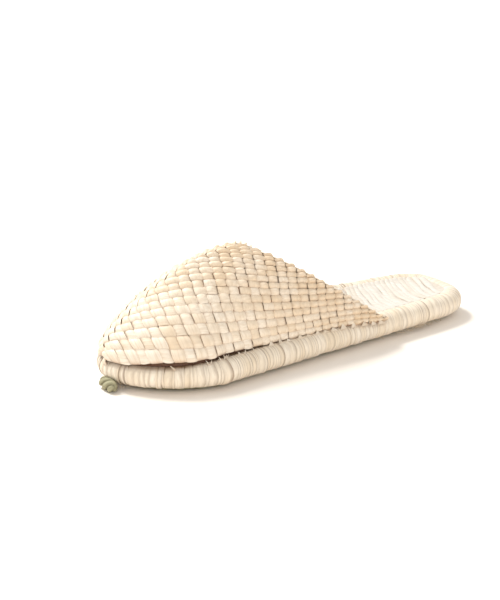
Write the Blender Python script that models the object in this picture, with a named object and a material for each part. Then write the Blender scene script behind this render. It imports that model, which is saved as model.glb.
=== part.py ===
"""Corn husk slipper: a backless plaited slipper with a wrapped edge roll and a rope outsole.

Toe towards -Y, +X is the wearer's left, +Z up. Metres. The origin is on the floor, under the middle of the box.
A is counted across the strips that rise from the far edge, B across those that rise from the near edge.
"""

import math

import bmesh
import bpy
import numpy as np

MM = 0.001

# Sole outline
LENGTH = 268 * MM
BALL_WIDTH = 98.5 * MM
HEEL_WIDTH = 69.5 * MM
BALL_AT = 0.215
HEEL_AT = 0.845
TOE_POWER = 1.72
HEEL_POWER = 3.1

# Edge roll, wound with husk strips
ROLL_RADIUS = 7.75 * MM
ROLL_LIFT = 2.6 * MM
WRAP_WIDTH = 6.2 * MM
WRAP_STEP = 0.35 * MM
ROLL_SIDES_SETTING = 3

# Upper
PEAK_HEIGHT = 71.3 * MM
PEAK_BACK = 94.4 * MM
COLLAR_END_BACK = 188 * MM
UPPER_START = 1.6 * MM
WALL = 2.2 * MM
STRIPS = 32
STRIP_RAISE = 0.95 * MM
STRIP_EDGE = 0.25 * MM
HOLE_SINK = 0.35 * MM
RIM_RAISE = 0.7 * MM
NOSE_HEIGHT = 6.4 * MM
NOSE_LENGTH = 7.0 * MM
RIDGE_POWER = 2.03
SECTION_POWER = 1.46
ROW_POWER_TOE = 1.6
ROW_POWER_COLLAR = 0.88
ARC_POWER = 1.22
FOOT_DRIFT = (0.028, -0.012)
RIDGE_DRIFT = (-0.03, -0.024)

# Footbed and rope outsole
FOOTBED_TOP = 14.2 * MM
FOOTBED_RIM_IN = 12.2 * MM
FOOTBED_BOTTOM = 4.6 * MM
OUTSOLE_IN = 9.2 * MM
OUTSOLE_TOP = 4.2 * MM
ROPE_PITCH = 6.5 * MM
ROPE_GROOVE = 1.1 * MM
SPINE_SHARE = 0.86

# Rope end that shows under the toe
KNOT_LENGTH = 12.5 * MM
KNOT_RADIUS = 3.4 * MM
KNOT_STRANDS = 3
KNOT_TURNS = 0.62
KNOT_FORWARD = 0.8 * MM
KNOT_SIDE = 6.3 * MM

CLEARANCE = 0.3 * MM

# Moves every piece back, so that the origin is in the middle of the box with the rope end counted
TO_BOX_MIDDLE = (KNOT_FORWARD + KNOT_RADIUS) / 2

# Share of the sole's length back from the tip, inset of the upper's foot from the sole's edge
FOOT_SHARE = (0.0, 0.046, 0.115, 0.229, 0.382, 0.534, 0.664, 1.0)
FOOT_INSET_MM = (1.7, 2.4, 3.6, 10.0, 9.6, 6.6, 0.8, 0.8)

HUSK = (0.93, 0.83, 0.66, 1.0)
HUSK_PALE = (0.95, 0.87, 0.73, 1.0)
ROPE = (0.42, 0.40, 0.25, 1.0)


def half_width(back):
    """Half of the sole's width at a distance back from its tip."""
    share = np.asarray(back) / LENGTH
    taper = (HEEL_WIDTH - BALL_WIDTH) * (share - BALL_AT) / (HEEL_AT - BALL_AT)
    body = BALL_WIDTH + np.where(share < BALL_AT, 0.0, taper)
    to_toe = np.clip(1 - share / BALL_AT, 0, 1)
    to_heel = np.clip((share - HEEL_AT) / (1 - HEEL_AT), 0, 1)
    toe = np.maximum(1 - to_toe**TOE_POWER, 0) ** (1 / TOE_POWER)
    heel = np.maximum(1 - to_heel**HEEL_POWER, 0) ** (1 / HEEL_POWER)
    return body / 2 * toe * heel


def side_line(inset, samples=721):
    """One side of the outline, moved in along its normal: distances back and half widths."""
    turn = np.linspace(0, math.pi, samples)
    back = LENGTH * (1 - np.cos(turn)) / 2
    wide = half_width(back)
    d_wide = np.gradient(wide, turn)
    d_back = np.gradient(back, turn)
    size = np.maximum(np.hypot(d_wide, d_back), 1e-12)
    moved = np.broadcast_to(inset, back.shape)
    back_in = back + moved * d_wide / size
    wide_in = wide - moved * d_back / size
    wide_in[[0, -1]] = 0
    back_in[0] = moved[0]
    back_in[-1] = LENGTH - moved[-1]
    return back_in, np.maximum(wide_in, 0)


def outline(inset, count):
    """Closed outline in plan with its points evenly spaced, from the toe round the +X side."""
    back, wide = side_line(inset)
    x = np.concatenate([wide, -wide[-2:0:-1]])
    y = np.concatenate([back, back[-2:0:-1]]) - LENGTH / 2
    loop_x, loop_y = np.append(x, x[0]), np.append(y, y[0])
    along = np.concatenate([[0], np.cumsum(np.hypot(np.diff(loop_x), np.diff(loop_y)))])
    at = along[-1] * np.arange(count) / count
    return np.interp(at, along, loop_x), np.interp(at, along, loop_y), along[-1]


def roll_surface(inset):
    """Height of the roll's top above the floor at an inset from the sole's edge."""
    across = np.minimum(np.abs(inset - ROLL_RADIUS), ROLL_RADIUS)
    return ROLL_LIFT + ROLL_RADIUS + np.sqrt(ROLL_RADIUS**2 - across**2)


def foot_inset(back):
    """Inset of the upper's foot from the sole's edge, at a distance back from the tip."""
    return np.interp(back / LENGTH, FOOT_SHARE, FOOT_INSET_MM) * MM


def foot_height(back):
    """Height of the upper's lower edge, just clear of the roll that it stands on."""
    inset = foot_inset(back)
    under = [roll_surface(inset + WALL * k) for k in (0.0, 0.35, 0.7, 1.0)]
    return np.max(under, axis=0) + CLEARANCE


def upper_half_width(back):
    """Half of the upper's width at its foot."""
    line_back, _ = side_line(0.0)
    moved_back, moved_wide = side_line(foot_inset(line_back))
    order = np.argsort(moved_back)
    return np.interp(back, moved_back[order], moved_wide[order], left=0.0)


def ridge_height(back):
    """Height of the middle line of the upper: a blunt nose, then a rise to the throat."""
    share = np.clip((back - UPPER_START) / (PEAK_BACK - UPPER_START), 0, 1)
    nose = np.clip((back - UPPER_START) / NOSE_LENGTH, 0, 1)
    low = foot_height(back)
    blunt = NOSE_HEIGHT * np.sqrt(1 - (1 - nose) ** 2)
    rise = (PEAK_HEIGHT - NOSE_HEIGHT - low) * (1 - (1 - share) ** RIDGE_POWER)
    return low + blunt + rise


def arch_point(back, share, steps=72):
    """Point of the arch at a distance back, at a share of its arc from the +X foot to the other."""
    back = np.asarray(back, float)
    wide, low = upper_half_width(back), foot_height(back)
    tall = ridge_height(back) - low
    turn = np.linspace(0, math.pi / 2, steps)
    cos, sin = np.cos(turn) ** (2 / SECTION_POWER), np.sin(turn) ** (2 / SECTION_POWER)
    x = wide[:, None] * cos
    z = tall[:, None] * sin
    arc = np.cumsum(np.hypot(np.diff(x, axis=1), np.diff(z, axis=1)), axis=1)
    arc = np.concatenate([np.zeros((len(back), 1)), arc], axis=1)
    half = 1 - np.abs(1 - 2 * np.asarray(share))
    out = np.empty((len(back), 3))
    for k in range(len(back)):
        want = half[k] * arc[k, -1]
        out[k, 0] = np.interp(want, arc[k], x[k])
        out[k, 2] = low[k] + np.interp(want, arc[k], z[k])
    out[:, 0] *= np.where(np.asarray(share) > 0.5, -1.0, 1.0)
    out[:, 1] = back - LENGTH / 2
    return out


def even_back(end, height_of, wide_of):
    """Table from a share of a line's real length to its distance back, from the upper's tip."""
    back = UPPER_START + (end - UPPER_START) * (1 - np.cos(np.linspace(0, math.pi / 2, 400)))
    step = np.sqrt(np.diff(back) ** 2 + np.diff(height_of(back)) ** 2 + np.diff(wide_of(back)) ** 2)
    along = np.concatenate([[0], np.cumsum(step)])
    return along / along[-1], back


RIDGE_LINE = even_back(PEAK_BACK, ridge_height, lambda back: 0 * back)
FOOT_LINE = even_back(COLLAR_END_BACK, lambda back: 0 * back, upper_half_width)


def drifted(grown, drift):
    """Share of a line's length that a share of the mat reaches: strips aren't evenly wide."""
    turn = math.pi * np.clip(grown, 0, 1)
    return grown + drift[0] * np.sin(turn) + drift[1] * np.sin(2 * turn)


def mat_point(a, b):
    """Where a point of the plaited mat lies on the upper. A and B count strips from the toe."""
    a, b = np.asarray(a, float), np.asarray(b, float)
    both = np.maximum(a + b, 1e-9)
    grown = both / STRIPS
    share = np.clip(a / both, 0, 1)
    aside = np.abs(1 - 2 * share)
    power = ROW_POWER_TOE + (ROW_POWER_COLLAR - ROW_POWER_TOE) * grown
    ridge = np.interp(drifted(grown, RIDGE_DRIFT), *RIDGE_LINE)
    foot = np.interp(drifted(grown, FOOT_DRIFT), *FOOT_LINE)
    from_ridge = 1 - (1 - aside) ** ARC_POWER
    arc_share = np.where(share > 0.5, 1 + from_ridge, 1 - from_ridge) / 2
    return arch_point(ridge + (foot - ridge) * aside**power, arc_share)


def mat_normal(a, b, step=0.2):
    """Outward normal of the upper at a point of the mat."""
    a, b = np.asarray(a, float), np.asarray(b, float)
    a0, a1 = np.maximum(a - step, 0), a + step
    b0, b1 = np.maximum(b - step, 0), b + step
    along_a = mat_point(a1, b) - mat_point(a0, b)
    along_b = mat_point(a, b1) - mat_point(a, b0)
    normal = np.cross(along_b, along_a)
    size = np.linalg.norm(normal, axis=1)
    normal[size < 1e-12] = (0.0, -1.0, 0.0)
    return normal / np.maximum(np.linalg.norm(normal, axis=1), 1e-12)[:, None]


def material(name, colour, roughness):
    """A Principled material in one colour."""
    made = bpy.data.materials.new(name)
    made.use_nodes = True
    shader = made.node_tree.nodes["Principled BSDF"]
    shader.inputs["Base Color"].default_value = colour
    shader.inputs["Roughness"].default_value = roughness
    made.diffuse_color = colour
    return made


def add_object(name, data, finish, home):
    """Put a mesh or curve in the collection under its piece's name."""
    made = bpy.data.objects.new(name, data)
    data.materials.append(finish)
    home.objects.link(made)
    return made


def mesh_from(name, points, faces):
    """Mesh with outward faces and smooth shading across gentle edges."""
    data = bpy.data.meshes.new(name)
    placed = np.asarray(points, float) + (0.0, TO_BOX_MIDDLE, 0.0)
    data.from_pydata([tuple(map(float, p)) for p in placed], [], faces)
    shape = bmesh.new()
    shape.from_mesh(data)
    bmesh.ops.recalc_face_normals(shape, faces=shape.faces)
    shape.to_mesh(data)
    shape.free()
    data.shade_smooth()
    data.set_sharp_from_angle(angle=math.radians(35))
    return data


def loft(rings, closed_ends=True):
    """Points and faces that join closed rings of equal length, capped at both ends."""
    count = len(rings[0])
    points = [p for ring in rings for p in ring]
    faces = []
    for r in range(len(rings) - 1):
        for k in range(count):
            after = (k + 1) % count
            faces.append((r * count + k, r * count + after, (r + 1) * count + after, (r + 1) * count + k))
    if closed_ends:
        faces.append(tuple(range(count))[::-1])
        faces.append(tuple(range((len(rings) - 1) * count, len(rings) * count)))
    return points, faces


def relief(i, j):
    """Height of the plaited surface at a half step of the mat: strips stand up, corners sink."""
    if i + j >= 2 * STRIPS - 1:
        return RIM_RAISE
    if i % 2 and j % 2:
        return STRIP_RAISE
    if i % 2 or j % 2:
        return STRIP_EDGE
    return -HOLE_SINK


def upper_mesh():
    """The hollow plaited upper: an outer face with raised strips, an inner face and three rims."""
    fine = 2 * STRIPS
    outer_at = [(i, j) for i in range(fine + 1) for j in range(fine + 1 - i)]
    inner_at = [(i, j) for i in range(STRIPS + 1) for j in range(STRIPS + 1 - i)]
    outer_row = {ij: n for n, ij in enumerate(outer_at)}
    inner_row = {ij: n + len(outer_at) for n, ij in enumerate(inner_at)}

    half_steps = np.array(outer_at) / 2
    outer = mat_point(half_steps[:, 0], half_steps[:, 1])
    lift = np.array([relief(i, j) for i, j in outer_at])
    edge = np.array([i == 0 or j == 0 for i, j in outer_at])
    lift[edge] = np.maximum(lift[edge], 0)
    normal = mat_normal(half_steps[:, 0], half_steps[:, 1])
    normal[edge, 2] = 0
    normal /= np.linalg.norm(normal, axis=1)[:, None]
    outer = outer + normal * lift[:, None]

    steps = np.array(inner_at, float)
    inner_normal = mat_normal(steps[:, 0], steps[:, 1])
    foot = (steps[:, 0] == 0) | (steps[:, 1] == 0)
    inner_normal[foot, 2] = 0
    inner_normal /= np.linalg.norm(inner_normal, axis=1)[:, None]
    inner = mat_point(steps[:, 0], steps[:, 1]) - inner_normal * WALL

    faces = []
    for i in range(fine):
        for j in range(fine - i):
            here, right = outer_row[i, j], outer_row[i + 1, j]
            up = outer_row[i, j + 1]
            over = outer_row.get((i + 1, j + 1))
            if over is None:
                faces.append((here, right, up))
            elif (i + j) % 2:
                faces += [(here, right, up), (right, over, up)]
            else:
                faces += [(here, right, over), (here, over, up)]
    for i in range(STRIPS):
        for j in range(STRIPS - i):
            here, right, up = inner_row[i, j], inner_row[i + 1, j], inner_row[i, j + 1]
            faces.append((here, up, right))
            if i + j + 2 <= STRIPS:
                faces.append((right, up, inner_row[i + 1, j + 1]))

    rims = (
        lambda k: (0, k),
        lambda k: (k, STRIPS - k),
        lambda k: (STRIPS - k, 0),
    )
    for rim in rims:
        for k in range(STRIPS):
            start, end = rim(k), rim(k + 1)
            low, high = inner_row[start], inner_row[end]
            first = outer_row[start[0] * 2, start[1] * 2]
            middle = outer_row[start[0] + end[0], start[1] + end[1]]
            last = outer_row[end[0] * 2, end[1] * 2]
            faces += [(low, first, middle), (low, middle, high), (high, middle, last)]
    return mesh_from("upper", np.vstack([outer, inner]), faces)


def roll_curve():
    """The edge roll: a closed tube whose radius steps where one husk wrap laps the next."""
    _, _, around = outline(ROLL_RADIUS, 200)
    wraps = round(around / WRAP_WIDTH)
    x, y, _ = outline(ROLL_RADIUS, wraps * 4)
    data = bpy.data.curves.new("edge_roll", "CURVE")
    data.dimensions = "3D"
    data.bevel_depth = ROLL_RADIUS
    data.bevel_resolution = ROLL_SIDES_SETTING
    data.use_fill_caps = True
    data.twist_mode = "Z_UP"
    spline = data.splines.new("POLY")
    kept = [k for k in range(wraps * 4) if k % 4 in (1, 3)]
    spline.points.add(len(kept) - 1)
    for point, k in zip(spline.points, kept, strict=True):
        point.co = (x[k], y[k] + TO_BOX_MIDDLE, ROLL_LIFT + ROLL_RADIUS, 1)
        point.radius = 1.0 if k % 4 == 1 else 1.0 - WRAP_STEP / ROLL_RADIUS
    spline.use_cyclic_u = True
    return data


def ring(inset, height, count):
    """One ring of points at an inset from the sole's edge and a height."""
    x, y, _ = outline(inset, count)
    return np.column_stack([x, y, np.broadcast_to(height, x.shape)])


def towards_spine(points, share, height):
    """A ring drawn in towards the slipper's middle line, by a share of its width."""
    reach = np.abs(points[:, 1]).max() * SPINE_SHARE
    spine = np.column_stack([0 * points[:, 0], np.clip(points[:, 1], -reach, reach)])
    drawn = points[:, :2] + (spine - points[:, :2]) * share
    return np.column_stack([drawn, np.full(len(points), height)])


def hug(inset, sign):
    """Height just clear of the roll at an inset, above its middle or below it."""
    reach = ROLL_RADIUS + CLEARANCE
    across = min(abs(inset - ROLL_RADIUS), reach)
    return ROLL_LIFT + ROLL_RADIUS + sign * math.sqrt(reach**2 - across**2)


def footbed_mesh():
    """The dished footbed: its side follows the roll, its rim laps the roll's inner top."""
    count = 72
    inner = 2 * ROLL_RADIUS + CLEARANCE
    rim = FOOTBED_RIM_IN
    middle = (inner + rim) / 2
    low = inner + CLEARANCE
    top = ring(low, FOOTBED_TOP, count)
    edge = hug(rim, 1)
    drop = edge - FOOTBED_TOP
    rings = [
        towards_spine(ring(low, FOOTBED_BOTTOM, count), 0.9, FOOTBED_BOTTOM),
        ring(low, FOOTBED_BOTTOM, count),
        ring(inner, ROLL_LIFT + ROLL_RADIUS, count),
        ring(middle, hug(middle, 1), count),
        ring(rim, edge, count),
        ring(middle, FOOTBED_TOP + drop * 0.86, count),
        ring(low, FOOTBED_TOP + drop * 0.42, count),
        towards_spine(top, 0.3, FOOTBED_TOP + drop * 0.1),
        towards_spine(top, 0.9, FOOTBED_TOP),
    ]
    points, faces = loft(rings)
    return mesh_from("footbed", points, faces)


def outsole_mesh():
    """The rope mat under the sole: coils side by side, flat where they meet the floor."""
    count = 64
    edge_top = hug(OUTSOLE_IN + CLEARANCE, -1)
    shoulder = OUTSOLE_IN + ROPE_PITCH * 0.6
    inner = 2 * ROLL_RADIUS + CLEARANCE
    base = ring(inner, 0.0, count)
    rings = [towards_spine(base, 0.9, OUTSOLE_TOP), ring(inner, OUTSOLE_TOP, count)]
    rings.append(ring(shoulder, min(hug(shoulder, -1), OUTSOLE_TOP), count))
    rings.append(ring(OUTSOLE_IN + CLEARANCE, edge_top, count))
    rings.append(ring(OUTSOLE_IN, edge_top / 2, count))
    rings.append(ring(OUTSOLE_IN + 0.15 * ROPE_PITCH, 0.0, count))
    rings.append(ring(OUTSOLE_IN + 0.75 * ROPE_PITCH, 0.0, count))
    rings.append(ring(OUTSOLE_IN + ROPE_PITCH, ROPE_GROOVE, count))
    room = HEEL_WIDTH / 2 - inner
    coils = max(1, round(room / ROPE_PITCH) - 1)
    for k in range(coils):
        for part, height in ((0.25, 0.0), (0.75, 0.0), (1.0, ROPE_GROOVE)):
            rings.append(towards_spine(base, 0.8 * (k + part) / coils, height))
    rings.append(towards_spine(base, 0.8 + 0.05, 0.0))
    rings.append(towards_spine(base, 0.93, 0.0))
    points, faces = loft(rings)
    return mesh_from("outsole", points, faces)


def knot_mesh():
    """The rope's end: three strands that twist about a short axis across the toe."""
    stations, around = 13, 24
    centre = (KNOT_SIDE, -LENGTH / 2 - KNOT_FORWARD, KNOT_RADIUS + CLEARANCE)
    rings = []
    for s in range(stations):
        share = s / (stations - 1)
        girth = math.sqrt(max(1 - (2 * share - 1) ** 4, 0.06))
        twist = 2 * math.pi * KNOT_TURNS * share
        row = []
        for k in range(around):
            turn = 2 * math.pi * k / around
            lobe = 0.82 + 0.18 * abs(math.cos(KNOT_STRANDS * (turn - twist) / 2))
            reach = KNOT_RADIUS * girth * lobe
            row.append((
                centre[0] + (share - 0.5) * KNOT_LENGTH,
                centre[1] + reach * math.cos(turn),
                centre[2] + reach * math.sin(turn),
            ))
        rings.append(row)
    points, faces = loft(rings)
    return mesh_from("rope_knot", points, faces)


def main():
    """Build the slipper's five pieces."""
    for old in list(bpy.data.objects):
        bpy.data.objects.remove(old, do_unlink=True)
    home = bpy.data.collections.new("corn_husk_slipper")
    bpy.context.scene.collection.children.link(home)
    husk = material("husk_plait", HUSK, 0.62)
    wrap = material("husk_wrap", HUSK_PALE, 0.58)
    mat = material("husk_mat", HUSK_PALE, 0.66)
    rope = material("grass_rope", ROPE, 0.85)
    add_object("upper", upper_mesh(), husk, home)
    add_object("edge_roll", roll_curve(), wrap, home)
    add_object("footbed", footbed_mesh(), mat, home)
    add_object("outsole", outsole_mesh(), rope, home)
    add_object("rope_knot", knot_mesh(), rope.copy(), home)


main()
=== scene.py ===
"""Corn husk slipper, dressed: plaited strips, a husk-wound edge roll, a footbed of husk strands and a rope sole.

Toe towards -Y, +X is the side that faces the camera, +Z up. Metres, in the frame of the CAD.
"""

import logging
import math
import random
from dataclasses import dataclass, field
from enum import Enum

import bpy
import numpy as np
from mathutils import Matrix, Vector


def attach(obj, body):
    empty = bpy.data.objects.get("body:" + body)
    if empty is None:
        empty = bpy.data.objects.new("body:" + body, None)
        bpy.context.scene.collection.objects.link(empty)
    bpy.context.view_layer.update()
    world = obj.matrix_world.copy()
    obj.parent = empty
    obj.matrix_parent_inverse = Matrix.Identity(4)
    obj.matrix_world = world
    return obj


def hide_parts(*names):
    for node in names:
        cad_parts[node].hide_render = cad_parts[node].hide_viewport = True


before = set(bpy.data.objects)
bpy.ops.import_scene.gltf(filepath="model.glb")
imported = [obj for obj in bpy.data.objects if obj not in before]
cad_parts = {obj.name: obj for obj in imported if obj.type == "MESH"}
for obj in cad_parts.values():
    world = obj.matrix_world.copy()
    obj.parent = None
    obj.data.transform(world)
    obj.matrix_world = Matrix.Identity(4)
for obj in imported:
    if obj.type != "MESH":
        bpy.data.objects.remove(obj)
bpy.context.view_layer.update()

log = logging.getLogger("corn_husk_slipper")

MM = 0.001
SEED = 11
TAU = 2 * math.pi
Colour = tuple[float, float, float, float]


class Family(Enum):
    """The two families of strips in the plaited mat."""

    FROM_FAR_EDGE = 0
    FROM_NEAR_EDGE = 1


@dataclass(frozen=True)
class HuskFinish:
    """Dried husk: a pale fibrous leaf, with painted shade where strips go under and in gaps.

    Attributes:
        name: Name of the material.
        slot: Material slot of the record.
        pale: Colour of the lit leaf.
        warm: Colour of its warmer streaks.
        shade_colour: Colour of painted shade, where the leaf lies in shade under other strips or in gaps.
        grain: Fibre lines across one strip's width.
        roughness: Mean roughness.
        coat: Weight of the leaf's thin waxy coat.
    """

    name: str
    slot: str
    pale: Colour
    warm: Colour
    shade_colour: Colour
    grain: float
    roughness: float = 0.55
    coat: float = 0.12


@dataclass(frozen=True)
class RopeFinish:
    """Grass rope: grey-green fibres that run along the twist.

    Attributes:
        name: Name of the material.
        slot: Material slot of the record.
        light: Colour of the outer fibres.
        groove_shade: Colour of painted shade in the grooves between strands.
        grain: Fibre lines across one strand's width.
    """

    name: str
    slot: str
    light: Colour
    groove_shade: Colour
    grain: float = 26.0


PLAIT = HuskFinish(
    "husk_plait_strips", "husk_plait",
    pale=(0.875, 0.775, 0.645, 1), warm=(0.79, 0.625, 0.44, 1), shade_colour=(0.26, 0.11, 0.045, 1), grain=6.5,
)
WOUND = HuskFinish(
    "husk_wound_strips", "husk_wrap",
    pale=(0.90, 0.81, 0.68, 1), warm=(0.82, 0.69, 0.52, 1), shade_colour=(0.17, 0.08, 0.035, 1),
    grain=5.0, roughness=0.50, coat=0.16,
)
STRANDS = HuskFinish(
    "husk_footbed_strands", "husk_mat",
    pale=(0.71, 0.66, 0.59, 1), warm=(0.66, 0.585, 0.485, 1), shade_colour=(0.34, 0.21, 0.11, 1),
    grain=8.0, roughness=0.60, coat=0.08,
)
# Painted shade: this dark brown stands in for the shade in the gaps between the roll's wraps.
GAP_SHADE_CORE = HuskFinish(
    "husk_core_painted_shade", "husk_wrap",
    pale=(0.50, 0.32, 0.18, 1), warm=(0.42, 0.25, 0.13, 1), shade_colour=(0.22, 0.12, 0.06, 1),
    grain=6.0, roughness=0.75, coat=0.0,
)
# Painted shade: the inner face is a darker copy of the husk, for the shade inside the upper and in the gaps between
# strips.
SHADED_INNER_FACE = HuskFinish(
    "husk_inner_face", "husk_plait",
    pale=(0.80, 0.64, 0.43, 1), warm=(0.66, 0.46, 0.27, 1), shade_colour=(0.09, 0.035, 0.015, 1),
    grain=7.0, roughness=0.66, coat=0.04,
)
GRASS = RopeFinish("grass_rope_fibre", "grass_rope", (0.40, 0.36, 0.22, 1), (0.13, 0.11, 0.06, 1))
GRASS_END = RopeFinish("grass_rope_end_fibre", "grass_rope_end", (0.42, 0.39, 0.24, 1), (0.12, 0.10, 0.05, 1))


class ShaderKit:
    """Shader node groups that more than one finish uses, and the materials built from them."""

    TONE_STEP = 93.0
    PATCH_SIZE = 55.0
    STREAK_SHARE = 0.58
    STREAK_DARKER = 0.80
    FIBRE_DARKER = 0.62
    ROUGH_SPREAD = (-0.10, 0.14)
    HUSK_BUMP = (0.5, 0.5 * MM)
    ROPE_BUMP = (0.7, 0.6 * MM)

    def __init__(self) -> None:
        """Build each shared group once."""
        self.grain = self._leaf_grain()
        self.tint = self._leaf_tint()
        self.made: dict[str, bpy.types.Material] = {}

    @staticmethod
    def _group(name: str, vector: str, floats: dict[str, float], outputs: tuple[str, ...]) -> bpy.types.NodeTree:
        """Start a shader node group.

        Args:
            name: Name of the group.
            vector: Name of its vector input.
            floats: Defaults of its float inputs, by name.
            outputs: Names of its float outputs.

        Returns:
            The group, with its two end nodes placed.
        """
        group = bpy.data.node_groups.new(name, "ShaderNodeTree")
        group.interface.new_socket(vector, in_out="INPUT", socket_type="NodeSocketVector")
        for label, default in floats.items():
            socket = group.interface.new_socket(label, in_out="INPUT", socket_type="NodeSocketFloat")
            socket.default_value = default
        for label in outputs:
            group.interface.new_socket(label, in_out="OUTPUT", socket_type="NodeSocketFloat")
        group.nodes.new("NodeGroupInput").name = "in"
        group.nodes.new("NodeGroupOutput").name = "out"
        return group

    @staticmethod
    def _node(
        tree: bpy.types.NodeTree, kind: str, values: dict[str, float] | None = None, **settings: object,
    ) -> bpy.types.Node:
        """Add a node.

        Args:
            tree: Tree or group that it goes into.
            kind: Its type, without ShaderNode in front.
            values: Defaults of its inputs, by name.
            settings: Its other properties.

        Returns:
            The node.
        """
        node = tree.nodes.new(f"ShaderNode{kind}")
        for key, value in settings.items():
            setattr(node, key, value)
        for label, value in (values or {}).items():
            node.inputs[label].default_value = value
        return node

    @classmethod
    def _product(
        cls, tree: bpy.types.NodeTree, first: bpy.types.NodeSocket, second: bpy.types.NodeSocket | float,
    ) -> bpy.types.NodeSocket:
        """Multiply a socket by a socket or a number."""
        node = cls._node(tree, "Math", operation="MULTIPLY")
        tree.links.new(first, node.inputs[0])
        if isinstance(second, float):
            node.inputs[1].default_value = second
        else:
            tree.links.new(second, node.inputs[1])
        return node.outputs[0]

    @classmethod
    def _mix(
        cls, tree: bpy.types.NodeTree, factor: bpy.types.NodeSocket, first: object, second: Colour,
    ) -> bpy.types.NodeSocket:
        """Mix two colours.

        Args:
            tree: Tree of the material.
            factor: Socket with the share of the second colour.
            first: Colour at factor 0, a socket or a constant.
            second: Colour at factor 1.

        Returns:
            Socket with the mixed colour.
        """
        mix = cls._node(tree, "Mix", data_type="RGBA")
        tree.links.new(factor, mix.inputs["Factor"])
        if isinstance(first, bpy.types.NodeSocket):
            tree.links.new(first, mix.inputs["A"])
        else:
            mix.inputs["A"].default_value = first
        mix.inputs["B"].default_value = second
        return mix.outputs["Result"]

    def _leaf_grain(self) -> bpy.types.NodeTree:
        """Fibre lines that run along a strip. UV x counts across the strip and y along it.

        Returns:
            Group with outputs Lines, 0 to 1, and Height.
        """
        group = self._group("leaf_grain", "Along", {"Tone": 0.5, "Lines Across": 9.0}, ("Lines", "Height"))
        links, given, out = group.links, group.nodes["in"].outputs, group.nodes["out"].inputs
        split, lay = self._node(group, "SeparateXYZ"), self._node(group, "CombineXYZ")
        links.new(given["Along"], split.inputs[0])
        links.new(self._product(group, split.outputs["X"], given["Lines Across"]), lay.inputs["X"])
        links.new(split.outputs["Y"], lay.inputs["Y"])
        links.new(self._product(group, given["Tone"], self.TONE_STEP), lay.inputs["Z"])
        fine = self._node(group, "TexNoise", {"Scale": 1.0, "Detail": 3.0, "Roughness": 0.62})
        links.new(lay.outputs[0], fine.inputs["Vector"])
        sharp = self._node(group, "MapRange", {"From Min": 0.38, "From Max": 0.68})
        links.new(fine.outputs["Fac"], sharp.inputs["Value"])
        links.new(sharp.outputs["Result"], out["Lines"])
        links.new(fine.outputs["Fac"], out["Height"])
        return group

    def _leaf_tint(self) -> bpy.types.NodeTree:
        """Patches of warmer and paler leaf over the slipper, stronger on strips of a warmer tone.

        Returns:
            Group with output Patch, 0 to 1.
        """
        group = self._group("leaf_tint", "Place", {"Tone": 0.5}, ("Patch",))
        links, given = group.links, group.nodes["in"].outputs
        cloud = self._node(group, "TexNoise", {"Scale": self.PATCH_SIZE, "Detail": 2.0})
        links.new(given["Place"], cloud.inputs["Vector"])
        spread = self._node(group, "MapRange", {"From Min": 0.12, "From Max": 0.52})
        links.new(self._product(group, cloud.outputs["Fac"], given["Tone"]), spread.inputs["Value"])
        links.new(spread.outputs["Result"], group.nodes["out"].inputs["Patch"])
        return group

    def material(self, finish: HuskFinish | RopeFinish) -> bpy.types.Material:
        """Material of a finish, made once.

        Args:
            finish: Its colours and grain.

        Returns:
            The material.
        """
        if finish.name not in self.made:
            dress = self._husk if isinstance(finish, HuskFinish) else self._rope
            made = bpy.data.materials.new(finish.name)
            made.use_nodes = True
            tree = made.node_tree
            uv = self._node(tree, "UVMap", uv_map="UVMap").outputs["UV"]
            # The second attribute is painted shade, which darkens each colour towards its shade colour.
            tone, painted_shade = (
                self._node(tree, "Attribute", attribute_name=name).outputs["Fac"] for name in ("tone", "painted_shade")
            )
            grain = self._node(tree, "Group", node_tree=self.grain)
            grain.inputs["Lines Across"].default_value = finish.grain
            tree.links.new(uv, grain.inputs["Along"])
            tree.links.new(tone, grain.inputs["Tone"])
            strength, distance = dress(finish, tree, grain.outputs["Lines"], tone, painted_shade)
            bump = self._node(tree, "Bump", {"Strength": strength, "Distance": distance})
            tree.links.new(grain.outputs["Height"], bump.inputs["Height"])
            tree.links.new(bump.outputs["Normal"], tree.nodes["Principled BSDF"].inputs["Normal"])
            self.made[finish.name] = made
        return self.made[finish.name]

    def _husk(
        self, finish: HuskFinish, tree: bpy.types.NodeTree, lines: bpy.types.NodeSocket,
        tone: bpy.types.NodeSocket, painted_shade: bpy.types.NodeSocket,
    ) -> tuple[float, float]:
        """Colour and gloss of husk.

        Args:
            finish: Its colours and grain.
            tree: Tree of the material.
            lines: Fibre lines, 0 to 1.
            tone: Warmth of the leaf.
            painted_shade: Painted shade, 1 where the leaf lies deepest in shade.

        Returns:
            Strength and distance of its bump.
        """
        shader = tree.nodes["Principled BSDF"]
        tint = self._node(tree, "Group", node_tree=self.tint)
        tree.links.new(self._node(tree, "TexCoord").outputs["Object"], tint.inputs["Place"])
        tree.links.new(tone, tint.inputs["Tone"])
        leaf = self._mix(tree, tint.outputs["Patch"], finish.pale, finish.warm)
        streak = (*(self.STREAK_DARKER * c for c in finish.warm[:3]), 1.0)
        streaked = self._mix(tree, self._product(tree, lines, self.STREAK_SHARE), leaf, streak)
        # Painted shade: the streaked leaf is mixed towards its shade colour by the painted shade attribute.
        tree.links.new(self._mix(tree, painted_shade, streaked, finish.shade_colour), shader.inputs["Base Color"])
        smooth, rough = (finish.roughness + step for step in self.ROUGH_SPREAD)
        gloss = self._node(tree, "MapRange", {"To Min": smooth, "To Max": rough})
        tree.links.new(lines, gloss.inputs["Value"])
        tree.links.new(gloss.outputs["Result"], shader.inputs["Roughness"])
        shader.inputs["Coat Weight"].default_value = finish.coat
        shader.inputs["Coat Roughness"].default_value = 0.38
        shader.inputs["Specular IOR Level"].default_value = 0.38
        return self.HUSK_BUMP

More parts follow.
